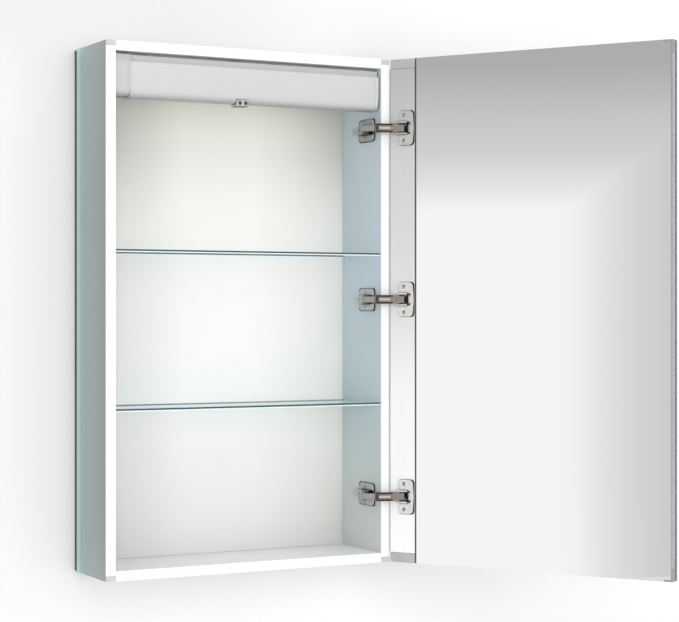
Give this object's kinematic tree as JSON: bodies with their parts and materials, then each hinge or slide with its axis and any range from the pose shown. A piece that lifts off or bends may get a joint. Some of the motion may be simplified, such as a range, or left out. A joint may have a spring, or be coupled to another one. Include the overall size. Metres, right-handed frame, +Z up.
{
  "type": "medicine cabinet with mirror",
  "caption": "Wall-hung mirrored medicine cabinet with a double-sided mirror door on concealed linked hinges, glass shelves and a light behind a valance.",
  "frame": {"origin": "centre of the back face, on the wall", "axes": "+X to the right and +Z up as seen by a user facing the cabinet, +Y into the wall; the door opens towards -Y on its right-hand side"},
  "size_m": [0.7108, 0.507, 0.762],
  "materials": {
    "white_aluminium": "white powder coat, semi-gloss",
    "corner_plastic": "moulded, light warm grey",
    "side_mirror": "polished mirror glass with a greenish edge",
    "back_white": "matt off-white coat",
    "zinc_steel": "zinc plated",
    "black_rubber": "matt black",
    "shelf_glass": "clear glass with polished blue-green edges",
    "clear_plastic": "clear moulded pegs",
    "nickel": "bright nickel plate on pressed and cast metal",
    "bronze_nickel": "nickel plate with a warm bronze tone",
    "lamp_white": "glossy light grey coat",
    "satin_aluminium": "satin anodised",
    "diffuser": "opal",
    "dark_lens": "dark clear lens",
    "mirror": "silvered mirror glass",
    "door_core": "rigid board between the two mirrors",
    "grey_plastic": "moulded grey"
  },
  "bodies": {
    "cabinet": {"top_panel": "white_aluminium", "bottom_panel": "white_aluminium", "side_profile_left": "white_aluminium", "side_profile_right": "white_aluminium", "corner_block_top_left": "corner_plastic", "corner_block_top_right": "corner_plastic", "corner_block_bottom_left": "corner_plastic", "corner_block_bottom_right": "corner_plastic", "side_mirror_left": "side_mirror", "side_mirror_right": "side_mirror", "back_panel": "back_white", "hanger_plate_left": "zinc_steel", "hanger_plate_right": "zinc_steel", "cable_grommet": "black_rubber", "peg_upper_left_front": "clear_plastic", "peg_upper_left_rear": "clear_plastic", "peg_upper_right_front": "clear_plastic", "peg_upper_right_rear": "clear_plastic", "peg_lower_left_front": "clear_plastic", "peg_lower_left_rear": "clear_plastic", "peg_lower_right_front": "clear_plastic", "peg_lower_right_rear": "clear_plastic", "downlight_housing": "nickel", "hinge_plate_top": "nickel", "hinge_plate_middle": "nickel", "hinge_plate_bottom": "nickel", "hinge_arm_top": "nickel", "hinge_arm_middle": "nickel", "hinge_arm_bottom": "nickel", "light_valance": "lamp_white", "valance_cap_left": "lamp_white", "valance_cap_right": "lamp_white", "light_bar": "satin_aluminium", "light_diffuser": "diffuser", "downlight_lens_left": "dark_lens", "downlight_lens_right": "dark_lens", "lamp_driver": "grey_plastic"},
    "door": {"door_front_mirror": "mirror", "door_back_mirror": "mirror", "door_core": "door_core", "door_hinge_stile": "satin_aluminium", "door_edge_strip": "satin_aluminium", "stile_cap_top": "grey_plastic", "stile_cap_bottom": "grey_plastic", "corner_protector_top": "grey_plastic", "corner_protector_bottom": "grey_plastic", "hinge_cup_top": "nickel", "hinge_cup_middle": "nickel", "hinge_cup_bottom": "nickel"},
    "shelf_upper": {"shelf_upper": "shelf_glass"},
    "shelf_lower": {"shelf_lower": "shelf_glass"},
    "crank_top": {"hinge_crank_top": "nickel"},
    "link_top": {"hinge_link_top": "bronze_nickel"},
    "clip_lever_top": {"clip_lever_top": "zinc_steel"},
    "crank_middle": {"hinge_crank_middle": "nickel"},
    "link_middle": {"hinge_link_middle": "bronze_nickel"},
    "clip_lever_middle": {"clip_lever_middle": "zinc_steel"},
    "crank_bottom": {"hinge_crank_bottom": "nickel"},
    "link_bottom": {"hinge_link_bottom": "bronze_nickel"},
    "clip_lever_bottom": {"clip_lever_bottom": "zinc_steel"}
  },
  "joints": [
    {"name": "door_swing", "type": "hinge", "parent": "cabinet", "child": "door", "pos_m": [0.22694, -0.12876, 0], "axis": [0, 0, 1], "range_deg": [-122.5, 0]},
    {"name": "crank_turn_top", "type": "hinge", "parent": "cabinet", "child": "crank_top", "pos_m": [0.19131, -0.1129, 0.276], "axis": [0, 0, 1], "range_deg": [-122.5, 0]},
    {"name": "link_turn_top", "type": "hinge", "parent": "crank_top", "child": "link_top", "pos_m": [0.20514, -0.13045, 0.276], "axis": [0, 0, 1], "range_deg": [0, 122.5]},
    {"name": "crank_turn_middle", "type": "hinge", "parent": "cabinet", "child": "crank_middle", "pos_m": [0.19131, -0.1129, 0.017], "axis": [0, 0, 1], "range_deg": [-122.5, 0]},
    {"name": "link_turn_middle", "type": "hinge", "parent": "crank_middle", "child": "link_middle", "pos_m": [0.20514, -0.13045, 0.017], "axis": [0, 0, 1], "range_deg": [0, 122.5]},
    {"name": "crank_turn_bottom", "type": "hinge", "parent": "cabinet", "child": "crank_bottom", "pos_m": [0.19131, -0.1129, -0.281], "axis": [0, 0, 1], "range_deg": [-122.5, 0]},
    {"name": "link_turn_bottom", "type": "hinge", "parent": "crank_bottom", "child": "link_bottom", "pos_m": [0.20514, -0.13045, -0.281], "axis": [0, 0, 1], "range_deg": [0, 122.5]},
    {"name": "clip_lever_press_top", "type": "hinge", "parent": "cabinet", "child": "clip_lever_top", "pos_m": [0.209, -0.0735, 0.276], "axis": [0, 0, -1], "range_deg": [0, 10], "stiffness_Nm_per_rad": 0.08, "springref_deg": -14.32},
    {"name": "clip_lever_press_middle", "type": "hinge", "parent": "cabinet", "child": "clip_lever_middle", "pos_m": [0.209, -0.0735, 0.017], "axis": [0, 0, -1], "range_deg": [0, 10], "stiffness_Nm_per_rad": 0.08, "springref_deg": -14.32},
    {"name": "clip_lever_press_bottom", "type": "hinge", "parent": "cabinet", "child": "clip_lever_bottom", "pos_m": [0.209, -0.0735, -0.281], "axis": [0, 0, -1], "range_deg": [0, 10], "stiffness_Nm_per_rad": 0.08, "springref_deg": -14.32},
    {"name": "shelf_upper_lift", "type": "slide", "parent": "cabinet", "child": "shelf_upper", "axis": [0, 0, 1], "range_m": [0, 0.02]},
    {"name": "shelf_lower_lift", "type": "slide", "parent": "cabinet", "child": "shelf_lower", "axis": [0, 0, 1], "range_m": [0, 0.02]}
  ],
  "couplings": [
    {"joint": "crank_turn_top", "follows": "door_swing", "ratio": 1},
    {"joint": "link_turn_top", "follows": "door_swing", "ratio": -1},
    {"joint": "crank_turn_middle", "follows": "door_swing", "ratio": 1},
    {"joint": "link_turn_middle", "follows": "door_swing", "ratio": -1},
    {"joint": "crank_turn_bottom", "follows": "door_swing", "ratio": 1},
    {"joint": "link_turn_bottom", "follows": "door_swing", "ratio": -1}
  ]
}
